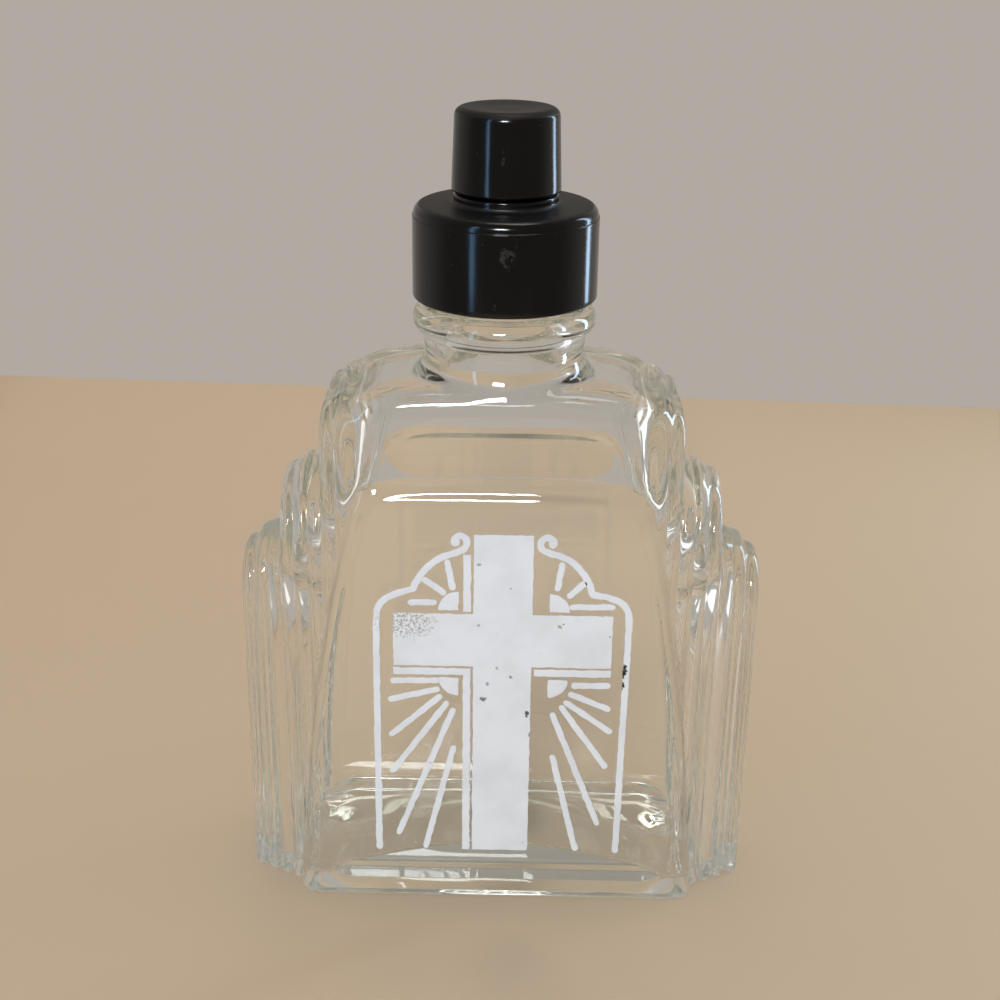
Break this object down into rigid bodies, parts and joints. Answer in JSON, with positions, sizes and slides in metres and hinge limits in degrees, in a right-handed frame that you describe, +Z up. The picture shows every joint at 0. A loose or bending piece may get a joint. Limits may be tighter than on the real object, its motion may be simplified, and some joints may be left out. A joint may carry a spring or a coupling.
{
  "type": "holy water bottle",
  "caption": "Clear glass holy water bottle with stepped reeded sides, a white cross, rays and arch printed in front, and a black screw collar with a small screw cap.",
  "frame": {"origin": "under the middle of the base, on the surface the bottle stands on", "axes": "+Z up along the neck, -Y towards the printed front, +X to the right seen from the front"},
  "size_m": [0.0884, 0.0328, 0.137],
  "materials": {
    "clear_glass": "clear moulded soda-lime glass",
    "white_enamel": "white fired enamel, slightly worn",
    "black_plastic": "black moulded phenolic, polished",
    "liner_pulp": "pressed pulp seal"
  },
  "bodies": {
    "bottle": {"glass_bottle": "clear_glass", "cross_enamel": "white_enamel", "frame_enamel": "white_enamel", "ray_enamel": "white_enamel", "sun_enamel": "white_enamel", "shade_enamel": "white_enamel"},
    "collar_seal": {"collar_liner": "liner_pulp"},
    "collar": {"collar_cap": "black_plastic"},
    "cap_seal": {"top_cap_liner": "liner_pulp"},
    "cap": {"top_cap": "black_plastic"}
  },
  "joints": [
    {"name": "collar_lift", "type": "slide", "parent": "bottle", "child": "collar_seal", "axis": [0, 0, 1], "range_m": [0, 0.01271]},
    {"name": "collar_turn", "type": "hinge", "parent": "collar_seal", "child": "collar", "pos_m": [0, 0, 0.107], "axis": [0, 0, 1], "range_deg": [0, 1080]},
    {"name": "cap_lift", "type": "slide", "parent": "collar", "child": "cap_seal", "axis": [0, 0, 1], "range_m": [0, 0.00961]},
    {"name": "cap_turn", "type": "hinge", "parent": "cap_seal", "child": "cap", "pos_m": [0, 0, 0.124], "axis": [0, 0, 1], "range_deg": [0, 1152]}
  ],
  "couplings": [
    {"joint": "collar_lift", "follows": "collar_turn", "m_per_rad": 0.00067375},
    {"joint": "cap_lift", "follows": "cap_turn", "m_per_rad": 0.00047746}
  ]
}
